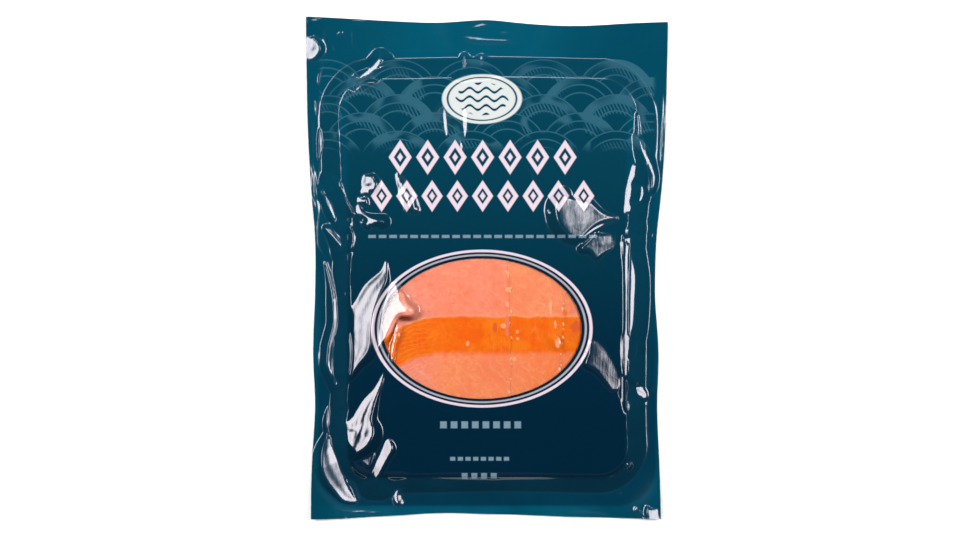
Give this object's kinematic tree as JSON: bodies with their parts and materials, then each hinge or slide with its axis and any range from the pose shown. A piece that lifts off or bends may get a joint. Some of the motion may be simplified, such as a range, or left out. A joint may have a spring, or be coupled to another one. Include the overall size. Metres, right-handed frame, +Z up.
{
  "type": "pack of smoked salmon",
  "caption": "Flat vacuum pack of sliced smoked salmon: printed dark teal film sealed all round, with an oval window over the slices.",
  "frame": {"origin": "on the ground under the middle of the pack's outline", "axes": "+Z up out of the pack's printed front, +Y towards its top edge, +X to the right of the print"},
  "size_m": [0.18, 0.25, 0.0103],
  "materials": {
    "printed_film": "glossy heat-sealed film, dark teal print",
    "clear_film": "clear glossy film of the window",
    "salmon": "moist orange-pink cured fish"
  },
  "bodies": {
    "root": {"film_pouch": "printed_film", "salmon_slice_left": "salmon", "salmon_slice_middle": "salmon", "salmon_slice_right": "salmon"}
  },
  "joints": []
}
